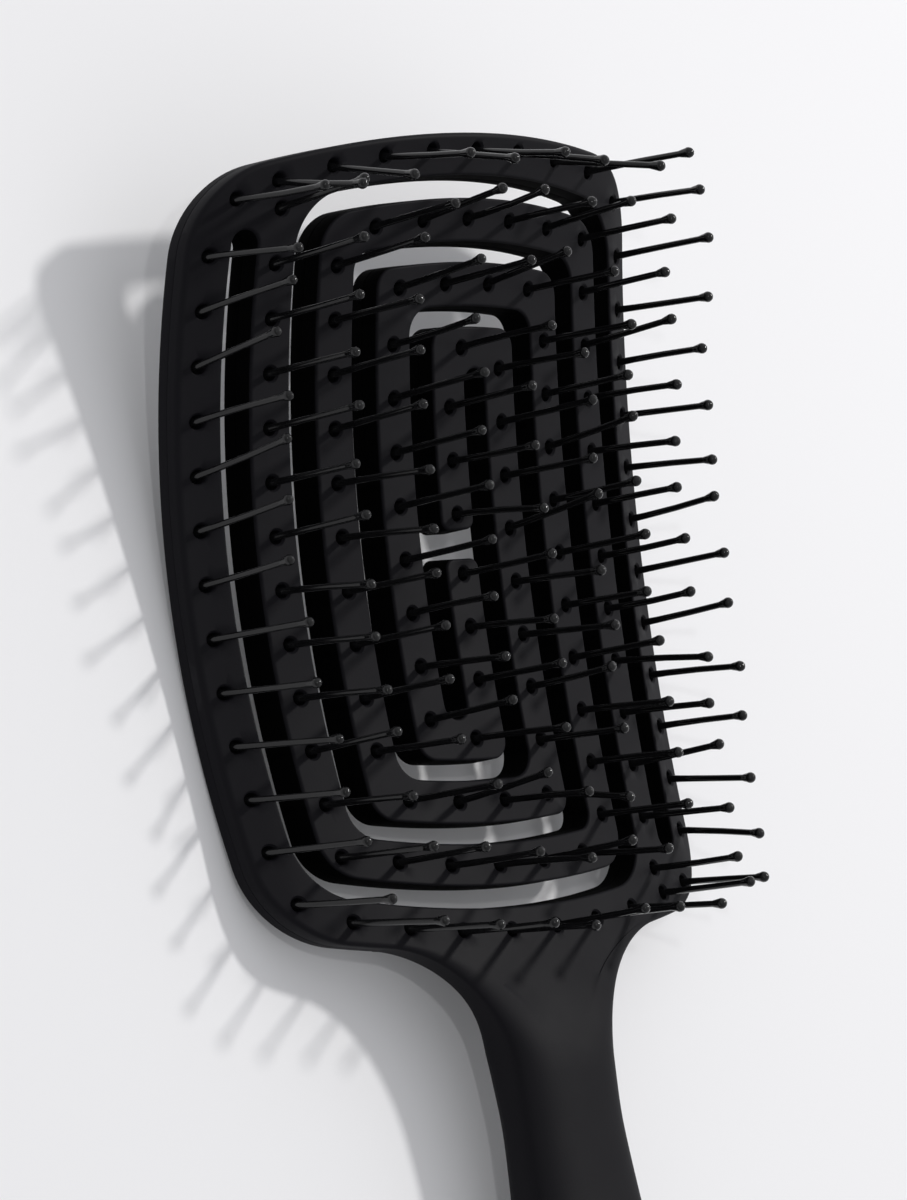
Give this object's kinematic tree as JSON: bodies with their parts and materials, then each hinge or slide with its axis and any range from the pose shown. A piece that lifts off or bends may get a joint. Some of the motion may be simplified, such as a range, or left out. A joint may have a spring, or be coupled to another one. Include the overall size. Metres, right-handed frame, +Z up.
{
  "type": "massage comb",
  "caption": "Vented massage brush: a bowed rectangular head cut by a double spiral of slots, rows of ball-tipped pins and a waisted paddle handle.",
  "frame": {"origin": "centre of the overall box, on the surface that the brush lies on", "axes": "+Z up, away from that surface and towards the pins; +Y from the handle to the head; +X across the head"},
  "size_m": [0.095, 0.2446, 0.0464],
  "materials": {
    "shell": "soft-touch matte black with a low sheen",
    "pins": "glossy black nylon"
  },
  "bodies": {
    "root": {"front_shell": "shell", "back_cover": "shell", "handle": "shell", "pins_rail_left": "pins", "pins_rail_right": "pins", "pins_crown": "pins", "pins_foot": "pins", "pins_arm_a_outer_column": "pins", "pins_arm_a_outer_row": "pins", "pins_arm_a_middle_column": "pins", "pins_arm_a_middle_row": "pins", "pins_arm_a_inner_column": "pins", "pins_arm_a_tip": "pins", "pins_arm_b_outer_column": "pins", "pins_arm_b_outer_row": "pins", "pins_arm_b_middle_column": "pins", "pins_arm_b_middle_row": "pins", "pins_arm_b_inner_column": "pins", "pins_arm_b_tip": "pins"}
  },
  "joints": []
}
